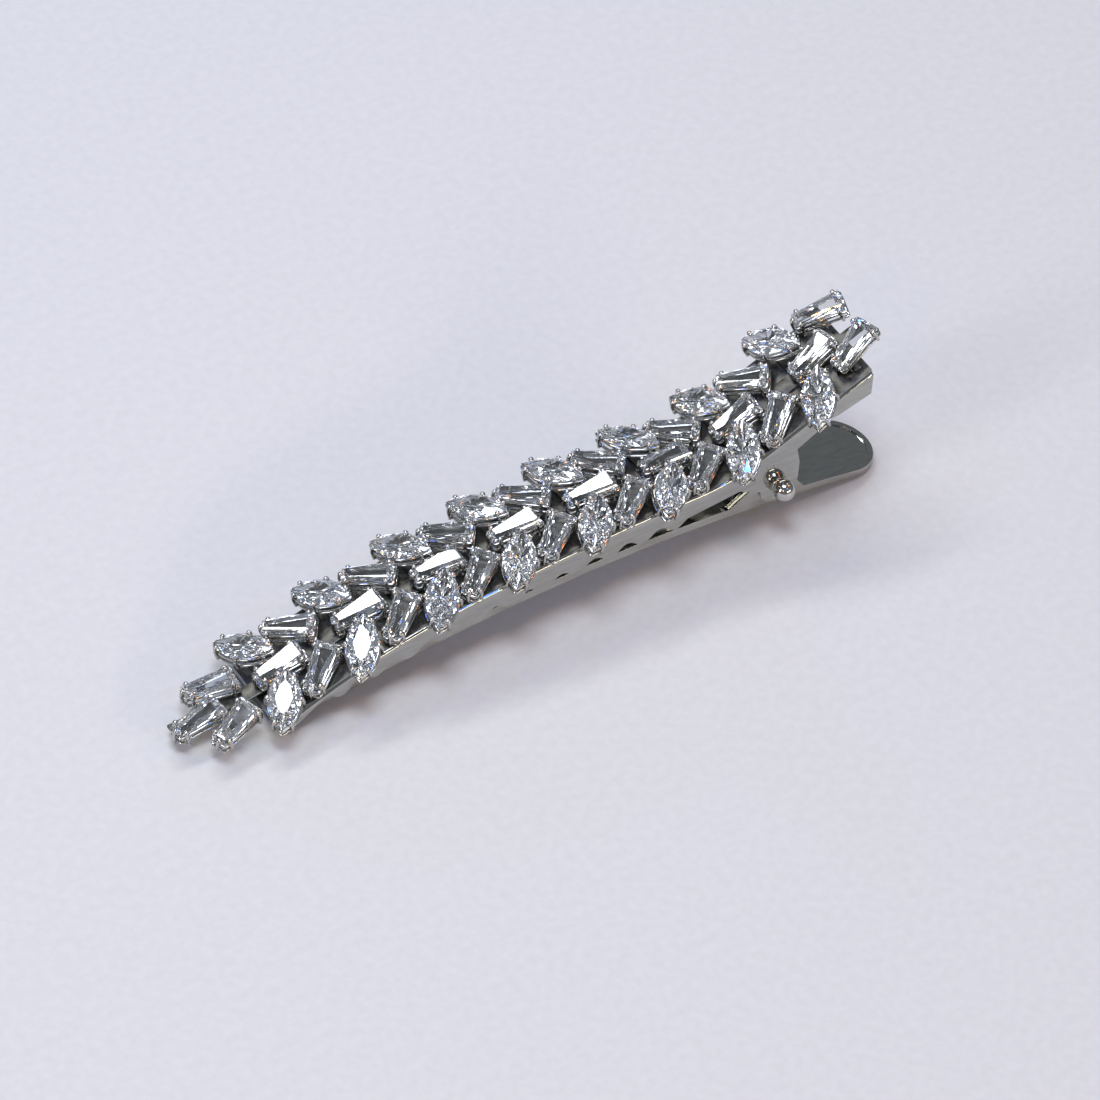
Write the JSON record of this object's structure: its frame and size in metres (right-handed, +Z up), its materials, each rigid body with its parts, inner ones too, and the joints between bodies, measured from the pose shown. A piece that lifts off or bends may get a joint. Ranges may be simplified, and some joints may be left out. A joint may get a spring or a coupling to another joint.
{
  "type": "rhinestone hair clip",
  "caption": "Sprung hair clip with a long toothed upper arm, an arched lower arm and a leaf spray of clear marquise and tapered baguette stones in prong settings.",
  "frame": {"origin": "middle of the closed clip's box along X and across Y, on the surface that the lower arm rests on", "axes": "+X from the jaw tips to the thumb tabs, +Y across the clip, +Z up from the resting surface through the stones"},
  "size_m": [0.0912, 0.0162, 0.0222],
  "materials": {
    "silver_plate": "bright silver plate, polished",
    "setting_metal": "bright silver plate on cast settings",
    "polished_pin": "polished",
    "spring_wire": "drawn wire",
    "clear_stone": "faceted and polished"
  },
  "bodies": {
    "lower_jaw": {"lower_arm": "silver_plate", "hinge_pin": "polished_pin", "torsion_spring": "spring_wire"},
    "upper_jaw": {"upper_arm": "silver_plate", "spray_base": "silver_plate", "marquise_near_settings": "setting_metal", "marquise_far_settings": "setting_metal", "baguette_near_settings": "setting_metal", "baguette_centre_settings": "setting_metal", "baguette_far_settings": "setting_metal", "marquise_near_1": "clear_stone", "marquise_near_2": "clear_stone", "marquise_near_3": "clear_stone", "marquise_near_4": "clear_stone", "marquise_near_5": "clear_stone", "marquise_near_6": "clear_stone", "marquise_near_7": "clear_stone", "marquise_near_8": "clear_stone", "marquise_far_1": "clear_stone", "marquise_far_2": "clear_stone", "marquise_far_3": "clear_stone", "marquise_far_4": "clear_stone", "marquise_far_5": "clear_stone", "marquise_far_6": "clear_stone", "marquise_far_7": "clear_stone", "marquise_far_8": "clear_stone", "baguette_near_0": "clear_stone", "baguette_near_1": "clear_stone", "baguette_near_2": "clear_stone", "baguette_near_3": "clear_stone", "baguette_near_4": "clear_stone", "baguette_near_5": "clear_stone", "baguette_near_6": "clear_stone", "baguette_near_7": "clear_stone", "baguette_near_8": "clear_stone", "baguette_centre_0": "clear_stone", "baguette_centre_1": "clear_stone", "baguette_centre_2": "clear_stone", "baguette_centre_3": "clear_stone", "baguette_centre_4": "clear_stone", "baguette_centre_5": "clear_stone", "baguette_centre_6": "clear_stone", "baguette_centre_7": "clear_stone", "baguette_centre_8": "clear_stone", "baguette_far_0": "clear_stone", "baguette_far_1": "clear_stone", "baguette_far_2": "clear_stone", "baguette_far_3": "clear_stone", "baguette_far_4": "clear_stone", "baguette_far_5": "clear_stone", "baguette_far_6": "clear_stone", "baguette_far_7": "clear_stone", "baguette_far_8": "clear_stone"}
  },
  "joints": [
    {"name": "jaw_hinge", "type": "hinge", "parent": "lower_jaw", "child": "upper_jaw", "pos_m": [0.02942, 0, 0.0066], "axis": [0, 1, 0], "range_deg": [0, 30], "stiffness_Nm_per_rad": 0.12, "springref_deg": -34.38, "deforming": ["torsion_spring"]}
  ]
}
